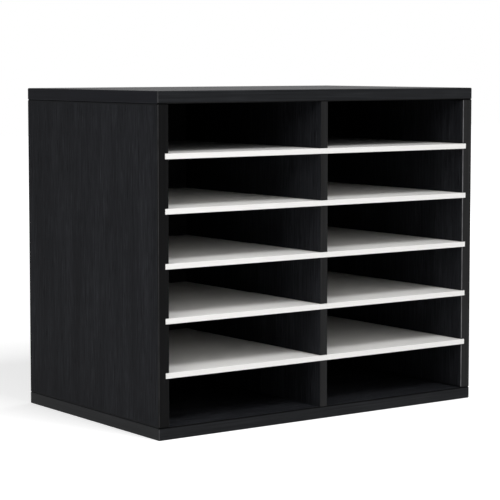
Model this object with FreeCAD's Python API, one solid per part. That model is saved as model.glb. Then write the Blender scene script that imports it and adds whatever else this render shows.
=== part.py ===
import FreeCAD, Part
import math
import os

Vector = FreeCAD.Vector
os.makedirs("parts", exist_ok=True)

# Mail sorter: an open-fronted case with one upright divider and five shelves that slide out.
# All sizes are in millimetres. X runs across the front, the open front faces -Y, Z is up.
# The origin is the middle of the footprint, on the surface that the case stands on.

# Case
case_width = 490.0
case_depth = 307.0
case_height = 410.0
rows = 6

# Boards
case_board = 15.0
divider_board = 10.6
shelf_board = 6.6
back_board = 3.0

# Edge bands, glued on, and the rounding of their outer arrises
case_band = 2.0
divider_band = 1.0
shelf_band = 0.8
case_arris = 1.5
divider_arris = 0.5
shelf_arris = 0.5
least_flat = 0.1

# Grooves in the side panels that carry the shelves
shelf_groove_depth = 5.5
shelf_end_gap = 0.5
shelf_height_play = 0.4
shelf_rear_gap = 0.5

# Crossing of each shelf with the divider, half of the depth cut from each
crossing_side_play = 0.3
crossing_end_gap = 0.5

# Back panel and the groove round it
back_inset = 6.0
back_groove_depth = 5.0
back_play = 0.2
back_edge_gap = 0.5

# Countersunk screws through top and bottom into the ends of the upright boards
screw_length = 40.0
screw_diameter = 4.0
screw_core = 2.8
screw_pitch = 1.8
screw_plain_length = 12.0
screw_tip_length = 4.0
screw_head = 8.0
screw_head_rim = 0.4
screw_hole_play = 0.5
thread_play = 0.1
screw_setback = 45.0
recess_span = 4.4
recess_width = 1.2
recess_depth = 1.8
recess_taper = 0.5

# Wooden dowels in the same joints
side_dowel = 8.0
divider_dowel = 6.0
dowel_length = 30.0
dowel_in_panel = 10.5
dowel_chamfer = 1.0
dowel_play = 0.1
dowel_end_gap = 0.5
dowel_setback = 80.0

# Places worked out from the sizes
right_x = case_width / 2
left_x = -right_x
rear_y = case_depth / 2
front_y = -rear_y
inner_right_x = right_x - case_board
inner_left_x = -inner_right_x
floor_z = case_board
ceiling_z = case_height - case_board

shelf_count = rows - 1
compartment_height = (ceiling_z - floor_z - shelf_count * shelf_board) / rows
shelf_pitch = compartment_height + shelf_board
shelf_end_x = inner_right_x + shelf_groove_depth - shelf_end_gap

back_rear_y = rear_y - back_inset
back_groove_front_y = back_rear_y - back_board - back_play
shelf_rear_y = back_groove_front_y - shelf_rear_gap
crossing_y = (front_y + shelf_rear_y) / 2

upright_x = (inner_left_x - case_board / 2, 0.0, inner_right_x + case_board / 2)
past = 1.0


def block(low, high):
    # A box from its lowest to its highest corner.
    size = [top - bottom for bottom, top in zip(low, high)]
    return Part.makeBox(size[0], size[1], size[2], Vector(*low))


def cut_all(solid, tools):
    for tool in tools:
        solid = solid.cut(tool)
    return solid


def arris_radius(wanted, band):
    # A rounding stays inside the band that carries it.
    return min(wanted, band - least_flat)


def round_edges(solid, radius, is_chosen):
    edges = [edge for edge in solid.Edges if is_chosen(edge.CenterOfMass)]
    return solid.makeFillet(radius, edges)


def write(node, solids):
    # One solid, or a group of like solids that share a node.
    shape = solids[0] if len(solids) == 1 else Part.makeCompound(solids)
    shape.exportStep("parts/" + node + ".step")
    print(node, len(shape.Solids), round(shape.Volume, 1))


def shelf_bottom_z(number):
    # Shelves are numbered from the top.
    return ceiling_z - number * shelf_pitch


def shelf_groove(number, end_y):
    # The space cleared for a shelf, from in front of the case back to end_y.
    bottom = shelf_bottom_z(number)
    reach = inner_right_x + shelf_groove_depth
    low = (-reach, front_y - past, bottom)
    high = (reach, end_y, bottom + shelf_board + shelf_height_play)
    return block(low, high)


def back_groove():
    # The space cleared for the back panel, sunk into all four case panels.
    reach = inner_right_x + back_groove_depth
    low = (-reach, back_groove_front_y, floor_z - back_groove_depth)
    high = (reach, back_rear_y, ceiling_z + back_groove_depth)
    return block(low, high)


def turned(outline):
    # A solid of revolution about Z from (radius, height) points.
    points = [Vector(radius, 0, height) for radius, height in outline]
    wire = Part.makePolygon(points + points[:1])
    return Part.Face(wire).revolve(Vector(0, 0, 0), Vector(0, 0, 1), 360)


def cross_outline(span, width, height):
    # Twelve corners of a plus sign, level at the given height.
    far = span / 2
    near = width / 2
    arm = ((far, -near), (far, near), (near, near))
    points = []
    for quarter in range(4):
        turn = math.radians(90 * quarter)
        for x, y in arm:
            along = x * math.cos(turn) - y * math.sin(turn)
            across = x * math.sin(turn) + y * math.cos(turn)
            points.append(Vector(along, across, height))
    return Part.makePolygon(points + points[:1])


def screw():
    # Points down, with the top of its head at height 0. Its thread is drawn as rings.
    crest = screw_diameter / 2
    root = screw_core / 2
    head_cone = screw_head / 2 - crest
    tip_top = screw_tip_length - screw_length
    rings = int((screw_length - screw_plain_length - screw_tip_length) / screw_pitch)
    outline = [(0, 0), (screw_head / 2, 0), (screw_head / 2, -screw_head_rim)]
    outline.append((crest, -screw_head_rim - head_cone))
    thread_top = tip_top + rings * screw_pitch
    outline.append((crest, thread_top))
    for ring in range(rings):
        ring_top = thread_top - ring * screw_pitch
        outline.append((root, ring_top - screw_pitch / 2))
        outline.append((crest, ring_top - screw_pitch))
    outline.append((0, -screw_length))
    body = turned(outline)
    mouth = cross_outline(recess_span, recess_width, 0)
    bottom = cross_outline(recess_span * recess_taper, recess_width * recess_taper, -recess_depth)
    return body.cut(Part.makeLoft([mouth, bottom], True, True))


def screw_hole():
    # Seat for the head and a clear hole through the panel, for a screw that points down.
    crest = screw_diameter / 2
    head_cone = screw_head / 2 - crest
    clear = crest + screw_hole_play / 2
    clear_z = -screw_head_rim - head_cone + screw_hole_play / 2
    outline = [(0, past), (screw_head / 2, past), (screw_head / 2, -screw_head_rim)]
    outline += [(clear, clear_z), (clear, -case_board - past), (0, -case_board - past)]
    return turned(outline)


def pilot_hole():
    # The hole that the thread fills in the end of an upright board.
    radius = (screw_diameter + thread_play) / 2
    return Part.makeCylinder(radius, screw_length + past, Vector(0, 0, -screw_length - past))


def dowel(diameter):
    # Stands on height 0, chamfered at both ends.
    radius = diameter / 2
    outline = [(0, 0), (radius - dowel_chamfer, 0), (radius, dowel_chamfer)]
    outline.append((radius, dowel_length - dowel_chamfer))
    outline += [(radius - dowel_chamfer, dowel_length), (0, dowel_length)]
    return turned(outline)


def dowel_hole(diameter):
    # A little longer than the dowel at each end, where the glue collects.
    length = dowel_length + 2 * dowel_end_gap
    return Part.makeCylinder((diameter + dowel_play) / 2, length, Vector(0, 0, -dowel_end_gap))


def at_top(shape, x, y):
    # Sets a shape that hangs from height 0 on the upper face of the top panel.
    return shape.translated(Vector(x, y, case_height))


def at_bottom(shape, x, y):
    # The same joint turned over, on the under face of the bottom panel.
    flipped = shape.mirror(Vector(0, 0, 0), Vector(0, 0, 1))
    return flipped.translated(Vector(x, y, 0))


def places(setback):
    # Two places on each upright, set back by the same length from front and rear.
    return [(x, y) for x in upright_x for y in (front_y + setback, rear_y - setback)]


def dowel_size(x):
    return divider_dowel if x == 0 else side_dowel


def dowel_shapes(make, wanted_sizes):
    # The given shape at each dowel's place, in the top joints and the bottom joints.
    upper_z = ceiling_z + dowel_in_panel - dowel_length
    lower_z = floor_z - dowel_in_panel
    shapes = []
    for x, y in places(dowel_setback):
        size = dowel_size(x)
        if size in wanted_sizes:
            shapes.append(make(size).translated(Vector(x, y, upper_z)))
            shapes.append(make(size).translated(Vector(x, y, lower_z)))
    return shapes


top_screws = [at_top(screw(), x, y) for x, y in places(screw_setback)]
bottom_screws = [at_bottom(screw(), x, y) for x, y in places(screw_setback)]
top_screw_holes = [at_top(screw_hole(), x, y) for x, y in places(screw_setback)]
bottom_screw_holes = [at_bottom(screw_hole(), x, y) for x, y in places(screw_setback)]
pilot_holes = [at_top(pilot_hole(), x, y) for x, y in places(screw_setback)]
pilot_holes += [at_bottom(pilot_hole(), x, y) for x, y in places(screw_setback)]
dowel_holes = dowel_shapes(dowel_hole, (side_dowel, divider_dowel))
grooves = [shelf_groove(number, back_groove_front_y) for number in range(1, rows)]
slots = [shelf_groove(number, crossing_y + crossing_end_gap / 2) for number in range(1, rows)]


def level_board(bottom_z, cuts):
    # The board of the top or bottom panel, inside its four bands.
    low = (left_x + case_band, front_y + case_band, bottom_z)
    high = (right_x - case_band, rear_y - case_band, bottom_z + case_board)
    return cut_all(block(low, high), cuts)


def side_board(x):
    # The board of a side panel, inside its four bands.
    low = (x - case_board / 2, front_y + case_band, floor_z + case_band)
    high = (x + case_board / 2, rear_y - case_band, ceiling_z - case_band)
    return cut_all(block(low, high), grooves + [back_groove()] + pilot_holes + dowel_holes)


def long_band(low_x, high_x, low_z, high_z, side):
    # Front (-1) or rear (1) band of a case panel. It covers the ends of the end bands,
    # so all its edges are rounded but those of the glued face.
    outer_y = side * rear_y
    glued_y = outer_y - side * case_band
    low = (low_x, min(outer_y, glued_y), low_z)
    high = (high_x, max(outer_y, glued_y), high_z)

    def is_free(point):
        return abs(point.y - glued_y) > least_flat

    return round_edges(block(low, high), arris_radius(case_arris, case_band), is_free)


def level_long_band(bottom_z, side):
    return long_band(left_x, right_x, bottom_z, bottom_z + case_board, side)


def side_long_band(x, side):
    return long_band(x - case_board / 2, x + case_board / 2, floor_z, ceiling_z, side)


def end_band(low_x, high_x, low_z, high_z, is_outer):
    # A band between the front and the rear band, with the long arrises of its outer face rounded.
    low = (low_x, front_y + case_band, low_z)
    high = (high_x, rear_y - case_band, high_z)

    def is_long_arris(point):
        return abs(point.y) < least_flat and is_outer(point)

    return round_edges(block(low, high), arris_radius(case_arris, case_band), is_long_arris)


def level_end_band(bottom_z, side):
    # Left (-1) or right (1) end of the top or bottom panel.
    outer_x = side * right_x
    glued_x = outer_x - side * case_band

    def is_outer(point):
        return abs(point.x - outer_x) < least_flat

    spread = (min(outer_x, glued_x), max(outer_x, glued_x))
    return end_band(spread[0], spread[1], bottom_z, bottom_z + case_board, is_outer)


def side_end_band(x, outer_z, upward):
    # Upper (1) or lower (-1) end of a side panel, against the top or the bottom panel.
    glued_z = outer_z - upward * case_band

    def is_outer(point):
        return abs(point.z - outer_z) < least_flat

    spread = (min(outer_z, glued_z), max(outer_z, glued_z))
    band = end_band(x - case_board / 2, x + case_board / 2, spread[0], spread[1], is_outer)
    return cut_all(band, [back_groove()] + pilot_holes + dowel_holes)


def divider():
    # Stands between bottom and top panel, from behind its front band to the back panel.
    low = (-divider_board / 2, front_y + divider_band, floor_z)
    high = (divider_board / 2, back_groove_front_y, ceiling_z)
    return cut_all(block(low, high), slots + pilot_holes + dowel_holes)


def divider_front_band():
    low = (-divider_board / 2, front_y, floor_z)
    high = (divider_board / 2, front_y + divider_band, ceiling_z)

    def is_long_arris(point):
        return abs(point.y - front_y) < least_flat and abs(point.x) > least_flat

    radius = arris_radius(divider_arris, divider_band)
    return round_edges(block(low, high), radius, is_long_arris)


def back_panel():
    # Stands on the floor of the bottom panel's groove, against the groove's front wall.
    reach = inner_right_x + back_groove_depth - back_edge_gap
    low = (-reach, back_groove_front_y, floor_z - back_groove_depth)
    high = (reach, back_groove_front_y + back_board, ceiling_z + back_groove_depth - back_edge_gap)
    return block(low, high)


def shelf(number):
    # The board behind its front band, notched from the rear to pass astride the divider.
    bottom = shelf_bottom_z(number)
    low = (-shelf_end_x, front_y + shelf_band, bottom)
    high = (shelf_end_x, shelf_rear_y, bottom + shelf_board)
    half_notch = divider_board / 2 + crossing_side_play
    notch_low = (-half_notch, crossing_y - crossing_end_gap / 2, bottom - past)
    notch_high = (half_notch, shelf_rear_y + past, bottom + shelf_board + past)
    return block(low, high).cut(block(notch_low, notch_high))


def shelf_front_band(number):
    bottom = shelf_bottom_z(number)
    low = (-shelf_end_x, front_y, bottom)
    high = (shelf_end_x, front_y + shelf_band, bottom + shelf_board)
    radius = arris_radius(shelf_arris, shelf_band)
    middle_z = bottom + shelf_board / 2

    def is_long_arris(point):
        return abs(point.y - front_y) < least_flat and abs(point.z - middle_z) > least_flat

    return round_edges(block(low, high), radius, is_long_arris)


write("top_panel", [level_board(ceiling_z, [back_groove()] + top_screw_holes + dowel_holes)])
write("bottom_panel", [level_board(0.0, [back_groove()] + bottom_screw_holes + dowel_holes)])
for panel_name, panel_z in (("top", ceiling_z), ("bottom", 0.0)):
    write(panel_name + "_front_band", [level_long_band(panel_z, -1)])
    write(panel_name + "_rear_band", [level_long_band(panel_z, 1)])
    write(panel_name + "_left_band", [level_end_band(panel_z, -1)])
    write(panel_name + "_right_band", [level_end_band(panel_z, 1)])

for side_name, side_x in (("left", upright_x[0]), ("right", upright_x[2])):
    write(side_name + "_side_panel", [side_board(side_x)])
    write(side_name + "_side_front_band", [cut_all(side_long_band(side_x, -1), grooves)])
    write(side_name + "_side_rear_band", [side_long_band(side_x, 1)])
    write(side_name + "_side_top_band", [side_end_band(side_x, ceiling_z, 1)])
    write(side_name + "_side_bottom_band", [side_end_band(side_x, floor_z, -1)])

write("center_divider", [divider()])
write("divider_front_bands", cut_all(divider_front_band(), slots).Solids)
write("back_panel", [back_panel()])

for shelf_number in range(1, rows):
    write("shelf_" + str(shelf_number), [shelf(shelf_number)])
    write("shelf_" + str(shelf_number) + "_front_band", [shelf_front_band(shelf_number)])

write("top_screws", top_screws)
write("bottom_screws", bottom_screws)
write("side_dowels", dowel_shapes(dowel, (side_dowel,)))
write("divider_dowels", dowel_shapes(dowel, (divider_dowel,)))
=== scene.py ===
import bpy
import math
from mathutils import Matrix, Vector


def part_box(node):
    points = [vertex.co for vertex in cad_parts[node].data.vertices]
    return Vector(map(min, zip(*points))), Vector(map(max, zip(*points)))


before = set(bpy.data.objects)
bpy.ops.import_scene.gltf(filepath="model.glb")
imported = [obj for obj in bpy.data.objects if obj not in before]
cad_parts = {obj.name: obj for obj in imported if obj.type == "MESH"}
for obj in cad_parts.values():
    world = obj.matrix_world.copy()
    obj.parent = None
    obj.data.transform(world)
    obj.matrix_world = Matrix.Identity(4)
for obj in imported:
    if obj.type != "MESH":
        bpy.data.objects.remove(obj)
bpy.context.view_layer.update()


# A finish is a small node tree. The helpers keep each finish down to the lines that matter.

def newFinish(name):
    material = bpy.data.materials.new(name)
    material.use_nodes = True
    tree = material.node_tree
    tree.nodes.clear()
    output = tree.nodes.new("ShaderNodeOutputMaterial")
    surface = tree.nodes.new("ShaderNodeBsdfPrincipled")
    tree.links.new(surface.outputs["BSDF"], output.inputs["Surface"])
    return material, tree, surface


def plug(tree, value, socket):
    # a socket takes either a plain value or another node's output
    if isinstance(value, bpy.types.NodeSocket):
        tree.links.new(value, socket)
    else:
        socket.default_value = value


def maths(tree, kind, first, second=0.0, third=0.0):
    node = tree.nodes.new("ShaderNodeMath")
    node.operation = kind
    for value, socket in zip((first, second, third), node.inputs):
        plug(tree, value, socket)
    return node.outputs["Value"]


def spread(tree, value, low, high, toLow=0.0, toHigh=1.0):
    node = tree.nodes.new("ShaderNodeMapRange")
    plug(tree, value, node.inputs["Value"])
    plug(tree, low, node.inputs["From Min"])
    plug(tree, high, node.inputs["From Max"])
    plug(tree, toLow, node.inputs["To Min"])
    plug(tree, toHigh, node.inputs["To Max"])
    return node.outputs["Result"]


def blendColour(tree, amount, first, second):
    node = tree.nodes.new("ShaderNodeMix")
    node.data_type = "RGBA"
    sockets = {s.identifier: s for s in node.inputs}
    plug(tree, amount, sockets["Factor_Float"])
    for colour, socket in ((first, sockets["A_Color"]), (second, sockets["B_Color"])):
        plug(tree, (*colour, 1) if isinstance(colour, tuple) else colour, socket)
    return next(s for s in node.outputs if s.identifier == "Result_Color")


def relief(tree, height, depth):
    node = tree.nodes.new("ShaderNodeBump")
    node.inputs["Strength"].default_value = 1
    node.inputs["Distance"].default_value = depth
    plug(tree, height, node.inputs["Height"])
    return node.outputs["Normal"]


def partPlace(tree):
    return tree.nodes.new("ShaderNodeTexCoord").outputs["Object"]


def axisOf(tree, place, axis):
    node = tree.nodes.new("ShaderNodeSeparateXYZ")
    plug(tree, place, node.inputs["Vector"])
    return node.outputs[axis]


def stretched(tree, place, size, shift=(0, 0, 0)):
    # size is how long one feature is along X, Y and Z, in metres
    mapping = tree.nodes.new("ShaderNodeMapping")
    mapping.inputs["Scale"].default_value = [1 / s for s in size]
    mapping.inputs["Location"].default_value = shift
    plug(tree, place, mapping.inputs["Vector"])
    return mapping.outputs["Vector"]


# A mark is one layer of noise: its width and length in metres, where it starts in the noise,
# how fine, rough and warped it is, and the two levels between which it fades in.

def pattern(tree, place, mark, along=None):
    # the length lies along the named axis, the width along the others
    length = mark.get("length", mark["width"])
    size = [length if axis == along else mark["width"] for axis in "XYZ"]
    node = tree.nodes.new("ShaderNodeTexNoise")
    node.inputs["Scale"].default_value = 1
    node.inputs["Detail"].default_value = mark["detail"]
    node.inputs["Roughness"].default_value = mark["rough"]
    node.inputs["Distortion"].default_value = mark.get("warp", 0)
    plug(tree, stretched(tree, place, size, mark.get("shift", (0, 0, 0))), node.inputs["Vector"])
    return node.outputs["Fac"]


def fadedIn(tree, noise, mark):
    # where the mark is weakest, a share of it can be kept
    low, high = mark["fade"]
    return spread(tree, noise, low, high, mark.get("keep", 0), 1)


def onPlanes(tree, place, axis, heights, reach=0.00006):
    # 1 on the planes that cross the axis at the given heights, 0 elsewhere
    along = axisOf(tree, place, axis)
    found = None
    for height in heights:
        here = maths(tree, "COMPARE", along, height, reach)
        found = here if found is None else maths(tree, "MAXIMUM", found, here)
    return found


def satin(surface, recipe):
    # a thin clear skin gives the sheen, so the black under it stays black
    surface.inputs["Specular IOR Level"].default_value = 0
    surface.inputs["Coat Weight"].default_value = recipe["coat"]
    surface.inputs["Coat IOR"].default_value = recipe["coatIor"]
    surface.inputs["Coat Roughness"].default_value = recipe["coatRoughness"]


def dress(nodeName, material):
    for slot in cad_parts[nodeName].material_slots:
        slot.material = material


# Black woodgrain laminate on pressed board
blackLaminate = {
    "ground": (0.0088, 0.0092, 0.0106),
    "fibre": (0.0245, 0.0258, 0.0298),
    # glintRidge is a painted highlight: lighter fibres that stand in for the lamps' glints on the raised
    # grain
    "glintRidge": (0.0340, 0.0356, 0.0405),    # the fibres that stand out lighter
    "pore": (0.0016, 0.0017, 0.0021),
    "streakMark": {
        "width": 0.0017, "length": 0.085, "shift": (3.1, 0.4, 7.7),
        "detail": 3, "rough": 0.62, "warp": 0.25, "fade": (0.38, 0.66),
    },
    "threadMark": {
        "width": 0.0009, "length": 0.045, "shift": (1.3, 5.2, 2.9),
        "detail": 2, "rough": 0.6, "fade": (0.36, 0.68),
    },
    "swellMark": {
        "width": 0.022, "length": 0.30, "shift": (0.3, 8.1, 0.6),
        "detail": 2, "rough": 0.5, "warp": 0.4, "fade": (0.30, 0.70), "keep": 0.35,
    },
    "glintRidgeMark": {
        "width": 0.0013, "length": 0.035, "shift": (6.4, 3.3, 1.8),
        "detail": 2, "rough": 0.6, "fade": (0.54, 0.74),
    },
    "poreMark": {
        "width": 0.0012, "length": 0.024, "shift": (9.1, 2.2, 4.4),
        "detail": 1, "rough": 0.5, "fade": (0.62, 0.72),
    },
    "streakShare": 0.6,                   # the rest of the fibres is fine thread
    "poreShade": 0.7,
    "poreDepth": 0.9,
    "roughness": (0.62, 0.5),             # between the fibres, and on them
    "reliefDepth": 0.00011,
    "coat": 0.12,
    "coatIor": 1.25,
    "coatRoughness": 0.36,
}
# the top and bottom panels are a shade glossier than the uprights
levelLaminate = {**blackLaminate, "coat": 0.31, "coatRoughness": 0.22}
boardCore = {
    "chips": ((0.50, 0.36, 0.21), (0.27, 0.17, 0.09)),
    "chipSize": (0.0021, 0.0021, 0.0009),
    "shuffle": 7,                         # spreads the tones evenly over the chips
    "reliefDepth": 0.00025,
}


def coreColour(tree, place):
    # pressed wood chips, as they show in a groove or a drilled hole
    cells = tree.nodes.new("ShaderNodeTexVoronoi")
    cells.inputs["Scale"].default_value = 1
    plug(tree, stretched(tree, place, boardCore["chipSize"]), cells.inputs["Vector"])
    shuffled = maths(tree, "MULTIPLY", axisOf(tree, cells.outputs["Color"], "X"), boardCore["shuffle"])
    tone = maths(tree, "FRACT", shuffled)
    return blendColour(tree, tone, *boardCore["chips"]), cells.outputs["Distance"]


def woodgrain(name, grainAxis, faceAxis, faces, recipe=blackLaminate):
    # laminate on the two faces that cross faceAxis, bare board everywhere else
    material, tree, surface = newFinish(name)
    place = partPlace(tree)

    def alongGrain(markName):
        mark = recipe[markName]
        return fadedIn(tree, pattern(tree, place, mark, grainAxis), mark)

    thread = maths(tree, "MULTIPLY", alongGrain("threadMark"), 1 - recipe["streakShare"])
    fibres = maths(tree, "MULTIPLY_ADD", alongGrain("streakMark"), recipe["streakShare"], thread)
    swell = alongGrain("swellMark")
    grain = maths(tree, "MULTIPLY", fibres, swell)
    # painted highlight: where the raised fibres glint
    glintRidge = maths(tree, "MULTIPLY", alongGrain("glintRidgeMark"), swell)
    pore = alongGrain("poreMark")
    colour = blendColour(tree, grain, recipe["ground"], recipe["fibre"])
    colour = blendColour(tree, glintRidge, colour, recipe["glintRidge"])
    colour = blendColour(tree, maths(tree, "MULTIPLY", pore, recipe["poreShade"]), colour, recipe["pore"])
    height = maths(tree, "SUBTRACT", grain, maths(tree, "MULTIPLY", pore, recipe["poreDepth"]))

    laminated = onPlanes(tree, place, faceAxis, faces)
    core, chips = coreColour(tree, place)
    plug(tree, blendColour(tree, laminated, core, colour), surface.inputs["Base Color"])
    chipHeight = maths(tree, "MULTIPLY", chips, boardCore["reliefDepth"] / recipe["reliefDepth"])
    height = spread(tree, laminated, 0, 1, chipHeight, height)
    bumps = relief(tree, height, recipe["reliefDepth"])
    plug(tree, bumps, surface.inputs["Normal"])
    plug(tree, bumps, surface.inputs["Coat Normal"])
    plug(tree, spread(tree, grain, 0, 1, *recipe["roughness"]), surface.inputs["Roughness"])
    satin(surface, recipe)
    return material


# Black edge band, glued on the boards' edges and trimmed to a rounded arris
levelBand = {
    "tone": ((0.0088, 0.0093, 0.0104), (0.0206, 0.0217, 0.0240)),
    "drawLine": {                         # lines left by the die, along the strip
        "width": 0.0019, "length": 0.13, "shift": (2.2, 6.1, 1.7),
        "detail": 3, "rough": 0.6, "fade": (0.35, 0.70),
    },
    "cloud": {"width": 0.05, "detail": 2, "rough": 0.5, "fade": (0.3, 0.7), "keep": 0.5},
    "roughness": (0.42, 0.55),
    "reliefDepth": 0.00003,
    "coat": 0.30,
    "coatIor": 1.25,
    "coatRoughness": 0.30,
}
uprightBand = {**levelBand, "tone": ((0.0094, 0.0094, 0.0096), (0.0208, 0.0208, 0.0214)), "coat": 0.38}
# painted shade: a darker copy of the band tone for the left front band
shadedLeftBand = {**uprightBand, "tone": ((0.0034, 0.0034, 0.0036), (0.0056, 0.0056, 0.0059)), "coat": 0.26}
# painted shade: a darker, bluer copy of the band tone for the top panel's left end
shadedTopEndBand = {**levelBand, "tone": ((0.0066, 0.0070, 0.0092), (0.0100, 0.0106, 0.0138)), "coat": 0.22}
# painted shade: a darker copy of the band tone for the bands that lie in the seams
shadedSeamBand = {**levelBand, "tone": ((0.0072, 0.0075, 0.0086), (0.0105, 0.0110, 0.0124)), "coat": 0.18}
# painted light: a lighter copy of the band tone for the bottom panel's left end, as lit from the floor
# below
litBaseEndBand = {**levelBand, "tone": ((0.0118, 0.0124, 0.0136), (0.0186, 0.0194, 0.0212)), "coat": 0.32}
# the bands that take a painted shade or painted light copy of the band tone
shadedAndLitBands = {
    "left_side_front_band": shadedLeftBand,
    "top_left_band": shadedTopEndBand,
    "bottom_left_band": litBaseEndBand,
    "left_side_top_band": shadedSeamBand,
    "left_side_bottom_band": shadedSeamBand,
    "right_side_top_band": shadedSeamBand,
    "right_side_bottom_band": shadedSeamBand,
}
# painted highlight along the upright arrises of each front band, left and right: a lighter colour in place
# of the lamps' reflection on the rounded arris
arrisHighlights = {
    "top_front_band": (0.046, 0.020),
    "bottom_front_band": (0.085, 0.020),
    "left_side_front_band": (0.036, 0.010),
    "right_side_front_band": (0.190, 0.030),
    "divider_front_bands": (0.022, 0.022),
}
plainArrisHighlights = (0.018, 0.018)
# where the painted arris highlight shows, and how it is broken up
arrisGlint = {
    "facing": (0.30, 0.62),               # how far the face has turned away from both X and Y
    "broken": {
        "width": 0.004, "length": 0.018,
        "detail": 3, "rough": 0.6, "fade": (0.30, 0.62), "keep": 0.45,
    },
    "blueShare": 1.04,                    # the painted highlight is a touch bluer
}
# painted shade: a front band is darker where it meets a seam
seamShade = {"reach": 0.0013, "keep": 0.22}


def paintedArrisHighlight(tree, place, colour, lightness, middleX):
    # a painted highlight: a lighter line along each upright arris, broken up a little
    facing = tree.nodes.new("ShaderNodeTexCoord").outputs["Normal"]
    across = [maths(tree, "ABSOLUTE", axisOf(tree, facing, axis)) for axis in "XY"]
    turned = spread(tree, maths(tree, "MINIMUM", *across), *arrisGlint["facing"])
    broken = fadedIn(tree, pattern(tree, place, arrisGlint["broken"], "Z"), arrisGlint["broken"])
    onRight = maths(tree, "GREATER_THAN", axisOf(tree, place, "X"), middleX)
    left, right = [(tone, tone, tone * arrisGlint["blueShare"]) for tone in lightness]
    line = blendColour(tree, onRight, left, right)
    return blendColour(tree, maths(tree, "MULTIPLY", turned, broken), colour, line)


def edgeBand(band, alongAxis, plainRecipe, middleX=0.0, seams=()):
    material, tree, surface = newFinish(band + "Finish")
    recipe = shadedAndLitBands.get(band, plainRecipe)
    place = partPlace(tree)
    line = pattern(tree, place, recipe["drawLine"], alongAxis)
    cloud = pattern(tree, place, recipe["cloud"])
    lineTone = fadedIn(tree, line, recipe["drawLine"])
    cloudTone = fadedIn(tree, cloud, recipe["cloud"])
    colour = blendColour(tree, maths(tree, "MULTIPLY", lineTone, cloudTone), *recipe["tone"])
    # painted highlight along the upright arrises
    colour = paintedArrisHighlight(tree, place, colour, arrisHighlights.get(band, plainArrisHighlights), middleX)
    # painted shade where the band meets the top and bottom panels
    if seams:
        shade = tuple(tone * seamShade["keep"] for tone in recipe["tone"][0])
        atSeam = onPlanes(tree, place, "Z", seams, seamShade["reach"])
        colour = blendColour(tree, atSeam, colour, shade)

    plug(tree, colour, surface.inputs["Base Color"])
    dull = spread(tree, cloud, *recipe["cloud"]["fade"], *recipe["roughness"])
    plug(tree, dull, surface.inputs["Roughness"])
    bumps = relief(tree, line, recipe["reliefDepth"])
    plug(tree, bumps, surface.inputs["Normal"])
    plug(tree, bumps, surface.inputs["Coat Normal"])
    satin(surface, recipe)
    return material


# White shelf
whiteLaminate = {
    "tone": ((0.806, 0.799, 0.783), (0.852, 0.845, 0.829)),
    "cloud": {"width": 0.045, "detail": 3, "rough": 0.55, "fade": (0.3, 0.7)},
    "speck": {"width": 0.0022, "detail": 4, "rough": 0.7, "fade": (0.35, 0.65)},
    "cloudShare": 0.45,                   # the rest of the mottle is fine specks
    "emboss": {"width": 0.0008, "detail": 2, "rough": 0.6},
    "roughness": (0.34, 0.46),
    "reliefDepth": 0.00002,
    "specular": 0.4,
}
fibreboard = {
    "tone": ((0.42, 0.30, 0.18), (0.55, 0.41, 0.26)),
    "fibre": {"width": 0.0011, "length": 0.0003, "detail": 3, "rough": 0.7, "fade": (0.3, 0.7)},
    "roughness": 0.9,
}


def shelfLaminate(name, faces, recipe=whiteLaminate):
    # white above and below, bare fibreboard on the sawn edges and in the notch
    material, tree, surface = newFinish(name)
    place = partPlace(tree)
    cloud = fadedIn(tree, pattern(tree, place, recipe["cloud"]), recipe["cloud"])
    speck = fadedIn(tree, pattern(tree, place, recipe["speck"]), recipe["speck"])
    fine = maths(tree, "MULTIPLY", speck, 1 - recipe["cloudShare"])
    mottle = maths(tree, "MULTIPLY_ADD", cloud, recipe["cloudShare"], fine)
    white = blendColour(tree, mottle, *recipe["tone"])
    fibres = fadedIn(tree, pattern(tree, place, fibreboard["fibre"], "Z"), fibreboard["fibre"])
    bare = blendColour(tree, fibres, *fibreboard["tone"])
    laminated = onPlanes(tree, place, "Z", faces)
    plug(tree, blendColour(tree, laminated, bare, white), surface.inputs["Base Color"])
    dull = spread(tree, mottle, 0, 1, *recipe["roughness"])
    plug(tree, spread(tree, laminated, 0, 1, fibreboard["roughness"], dull), surface.inputs["Roughness"])
    emboss = pattern(tree, place, recipe["emboss"])
    plug(tree, relief(tree, emboss, recipe["reliefDepth"]), surface.inputs["Normal"])
    surface.inputs["Specular IOR Level"].default_value = recipe["specular"]
    return material


whiteBand = {
    "tone": ((0.83, 0.822, 0.805), (0.87, 0.863, 0.848)),
    "drawLine": {
        "width": 0.0009, "length": 0.12, "shift": (4.2, 1.1, 3.7),
        "detail": 3, "rough": 0.6, "fade": (0.3, 0.7),
    },
    "roughness": (0.30, 0.40),
    "reliefDepth": 0.00002,
    "specular": 0.4,
}


def shelfEdge(name, recipe=whiteBand):
    material, tree, surface = newFinish(name)
    line = pattern(tree, partPlace(tree), recipe["drawLine"], "X")
    lineTone = fadedIn(tree, line, recipe["drawLine"])
    plug(tree, blendColour(tree, lineTone, *recipe["tone"]), surface.inputs["Base Color"])
    plug(tree, spread(tree, lineTone, 0, 1, *recipe["roughness"]), surface.inputs["Roughness"])
    plug(tree, relief(tree, line, recipe["reliefDepth"]), surface.inputs["Normal"])
    surface.inputs["Specular IOR Level"].default_value = recipe["specular"]
    return material


# Back panel
blackBack = {
    "tone": ((0.0045, 0.0045, 0.0048), (0.0095, 0.0095, 0.0100)),
    "cloud": {"width": 0.012, "detail": 4, "rough": 0.65, "fade": (0.3, 0.7)},
    "screenPitch": 0.0016,                # the press screen leaves a woven mark on the rear
    "screenShare": 0.5,
    "roughness": (0.55, 0.75),
    "reliefDepth": 0.00012,
    "specular": 0.16,
}


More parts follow.
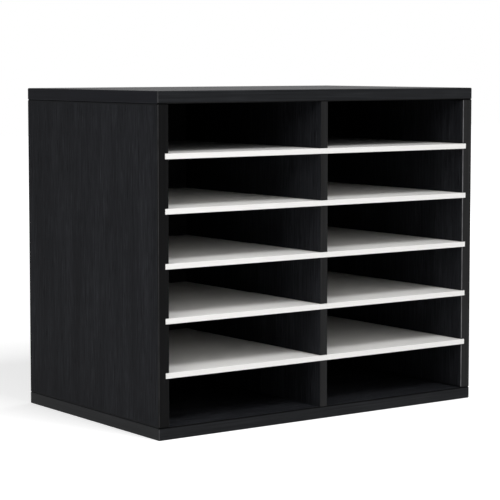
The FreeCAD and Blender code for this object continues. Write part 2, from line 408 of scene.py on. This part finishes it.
def pressedBack(name, rearY, recipe=blackBack):
    material, tree, surface = newFinish(name)
    place = partPlace(tree)
    cloud = pattern(tree, place, recipe["cloud"])
    cloudTone = fadedIn(tree, cloud, recipe["cloud"])
    plug(tree, blendColour(tree, cloudTone, *recipe["tone"]), surface.inputs["Base Color"])
    plug(tree, spread(tree, cloudTone, 0, 1, *recipe["roughness"]), surface.inputs["Roughness"])
    turn = 2 * math.pi / recipe["screenPitch"]
    waves = [maths(tree, "SINE", maths(tree, "MULTIPLY", axisOf(tree, place, axis), turn)) for axis in "XZ"]
    weave = maths(tree, "MULTIPLY", *waves)
    rear = onPlanes(tree, place, "Y", [rearY])
    weaveHeight = maths(tree, "MULTIPLY", rear, recipe["screenShare"])
    height = maths(tree, "MULTIPLY_ADD", weave, weaveHeight, cloud)
    plug(tree, relief(tree, height, recipe["reliefDepth"]), surface.inputs["Normal"])
    surface.inputs["Specular IOR Level"].default_value = recipe["specular"]
    return material


# Screws and dowels
blackScrew = {
    "tone": ((0.028, 0.027, 0.026), (0.075, 0.073, 0.070)),
    "grit": {"width": 0.0006, "detail": 4, "rough": 0.6, "fade": (0.35, 0.70)},
    "roughness": (0.32, 0.55),
    "reliefDepth": 0.00002,
}
beech = {
    "tone": ((0.62, 0.44, 0.27), (0.47, 0.30, 0.16)),
    "fleck": {"width": 0.0005, "length": 0.004, "detail": 3, "rough": 0.6, "fade": (0.35, 0.70)},
    "roughness": 0.7,
    "reliefDepth": 0.00004,
}


def blackenedSteel(name, recipe=blackScrew):
    material, tree, surface = newFinish(name)
    grit = fadedIn(tree, pattern(tree, partPlace(tree), recipe["grit"]), recipe["grit"])
    plug(tree, blendColour(tree, grit, *recipe["tone"]), surface.inputs["Base Color"])
    plug(tree, spread(tree, grit, 0, 1, *recipe["roughness"]), surface.inputs["Roughness"])
    plug(tree, relief(tree, grit, recipe["reliefDepth"]), surface.inputs["Normal"])
    surface.inputs["Metallic"].default_value = 1
    return material


def beechwood(name, recipe=beech):
    material, tree, surface = newFinish(name)
    fleck = fadedIn(tree, pattern(tree, partPlace(tree), recipe["fleck"], "Z"), recipe["fleck"])
    plug(tree, blendColour(tree, fleck, *recipe["tone"]), surface.inputs["Base Color"])
    plug(tree, relief(tree, fleck, recipe["reliefDepth"]), surface.inputs["Normal"])
    surface.inputs["Roughness"].default_value = recipe["roughness"]
    return material


# The finishes go on the pieces
def faceHeights(node, axis):
    low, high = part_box(node)
    return [low["XYZ".index(axis)], high["XYZ".index(axis)]]


for panel in ("top_panel", "bottom_panel"):
    dress(panel, woodgrain(panel + "Laminate", "X", "Z", faceHeights(panel, "Z"), levelLaminate))
for panel in ("left_side_panel", "right_side_panel", "center_divider"):
    dress(panel, woodgrain(panel + "Laminate", "Z", "X", faceHeights(panel, "X")))
print("woodgrain laminate on the boards")

# each band's own long axis, by the edge that it covers
levelRuns = {"front": "X", "rear": "X", "left": "Y", "right": "Y"}
sideRuns = {"front": "Z", "rear": "Z", "top": "Y", "bottom": "Y"}
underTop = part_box("top_panel")[0].z
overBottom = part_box("bottom_panel")[1].z
for level, seam in (("top", underTop), ("bottom", overBottom)):
    for edge, axis in levelRuns.items():
        band = f"{level}_{edge}_band"
        dress(band, edgeBand(band, axis, levelBand, seams=[seam] if edge == "front" else ()))
for side in ("left", "right"):
    low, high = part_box(side + "_side_panel")
    for edge, axis in sideRuns.items():
        band = f"{side}_side_{edge}_band"
        seams = [overBottom, underTop] if edge == "front" else ()
        dress(band, edgeBand(band, axis, uprightBand, (low.x + high.x) / 2, seams))
dress("divider_front_bands", edgeBand("divider_front_bands", "Z", uprightBand))
print("black edge bands")

whiteBands = shelfEdge("whiteBandFinish")
shelves = sorted(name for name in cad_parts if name.startswith("shelf_") and not name.endswith("band"))
for shelf in shelves:
    dress(shelf, shelfLaminate(shelf + "Laminate", faceHeights(shelf, "Z")))
    dress(shelf + "_front_band", whiteBands)
print("white shelves:", len(shelves))

dress("back_panel", pressedBack("blackHardboard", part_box("back_panel")[1].y))
for screws in ("top_screws", "bottom_screws"):
    dress(screws, blackenedSteel(screws + "Steel"))
for dowels in ("side_dowels", "divider_dowels"):
    dress(dowels, beechwood(dowels + "Beech"))
print("back, screws and dowels")


# Floor, light and camera
studio = {
    "floorSize": 16.0,
    "floorColour": (0.80, 0.80, 0.80),
    "floorRoughness": 0.9,
    "floorGlow": (0.50, 1.0),             # what the eye adds to the floor, near the case and far off
    "glowReach": (0.6, 2.6),
    "mirroredGlow": 1.0,                  # the same for gloss, which meets the floor as plain white
    "ambient": 0.20,
    "lampAim": (0, 0, 0.2),               # about the middle of the case
}
# azimuth is from straight in front, towards the right; each lamp stands off by its distance
lamps = {
    "leftKey": {"azimuth": -35, "height": 28, "away": 3.4, "size": (1.2, 1.0), "power": 10},
    "leftSide": {"azimuth": -66, "height": 27, "away": 1.25, "size": (0.6, 0.6), "power": 5},
    "highFront": {"azimuth": 6, "height": 50, "away": 3.4, "size": (1.1, 1.0), "power": 64.5},
    "rightTower": {"azimuth": 52, "height": 6, "away": 3.4, "size": (0.8, 1.4), "power": 4},
    "rightRear": {"azimuth": 108, "height": 22, "away": 3.4, "size": (1.4, 1.2), "power": 22},
}
camera = {
    "place": (-1.4200, -1.9590, 0.4417),
    "turn": 35.890,                       # degrees to the right of straight at the front
    "tilt": 4.813,                        # degrees down
    "lens": 133.96,
    "sensor": 36,                         # millimetres wide, as the lens is in millimetres
    "drop": 0.06,                         # the frame slides down by this share, to lean the uprights less
}


def lightRays(tree):
    # 1 for the camera's own rays, and 1 for the rays that come by way of gloss or a clear piece
    light = tree.nodes.new("ShaderNodeLightPath")
    byWay = maths(tree, "MAXIMUM", light.outputs["Is Glossy Ray"], light.outputs["Is Transmission Ray"])
    return light.outputs["Is Camera Ray"], byWay


def whiteRoom():
    world = bpy.data.worlds.new("studio")
    bpy.context.scene.world = world
    world.use_nodes = True
    tree = world.node_tree
    background = tree.nodes["Background"]
    background.inputs["Color"].default_value = (1, 1, 1, 1)
    seen = maths(tree, "MAXIMUM", *lightRays(tree))
    plug(tree, spread(tree, seen, 0, 1, studio["ambient"], 1.0), background.inputs["Strength"])


def paleFloor():
    material, tree, surface = newFinish("paleFloor")
    surface.inputs["Base Color"].default_value = (*studio["floorColour"], 1)
    surface.inputs["Roughness"].default_value = studio["floorRoughness"]
    surface.inputs["Specular IOR Level"].default_value = 0
    surface.inputs["Emission Color"].default_value = (1, 1, 1, 1)
    distance = tree.nodes.new("ShaderNodeVectorMath")
    distance.operation = "LENGTH"
    plug(tree, partPlace(tree), distance.inputs[0])
    glow = spread(tree, distance.outputs["Value"], *studio["glowReach"], *studio["floorGlow"])
    straight, byWay = lightRays(tree)
    mirrored = maths(tree, "MULTIPLY", byWay, studio["mirroredGlow"])
    plug(tree, maths(tree, "MULTIPLY_ADD", straight, glow, mirrored), surface.inputs["Emission Strength"])
    return material


def hangLamp(name, lamp):
    light = bpy.data.lights.new(name, "AREA")
    light.shape = "RECTANGLE"
    light.size, light.size_y = lamp["size"]
    light.energy = lamp["power"]
    holder = bpy.data.objects.new(name, light)
    bpy.context.scene.collection.objects.link(holder)
    turn, rise = math.radians(lamp["azimuth"]), math.radians(lamp["height"])
    toward = Vector((-math.sin(turn) * math.cos(rise), math.cos(turn) * math.cos(rise), -math.sin(rise)))
    holder.location = Vector(studio["lampAim"]) - toward * lamp["away"]
    holder.rotation_euler = toward.to_track_quat("-Z", "Y").to_euler()
    holder.visible_camera = False


whiteRoom()
half = studio["floorSize"] / 2
corners = [(-half, -half, 0), (half, -half, 0), (half, half, 0), (-half, half, 0)]
mesh = bpy.data.meshes.new("floor")
mesh.from_pydata(corners, [], [(0, 1, 2, 3)])
floor = bpy.data.objects.new("floor", mesh)
bpy.context.scene.collection.objects.link(floor)
mesh.materials.append(paleFloor())
for name, lamp in lamps.items():
    hangLamp(name, lamp)

lens = bpy.data.cameras.new("camera")
lens.lens = camera["lens"]
lens.sensor_width = camera["sensor"]
lens.shift_y = -camera["drop"]
viewer = bpy.data.objects.new("camera", lens)
bpy.context.scene.collection.objects.link(viewer)
viewer.location = camera["place"]
viewer.rotation_euler = (math.radians(90 - camera["tilt"]), 0, -math.radians(camera["turn"]))
bpy.context.scene.camera = viewer
bpy.context.scene.view_settings.view_transform = "Standard"
print("floor, lamps and camera")
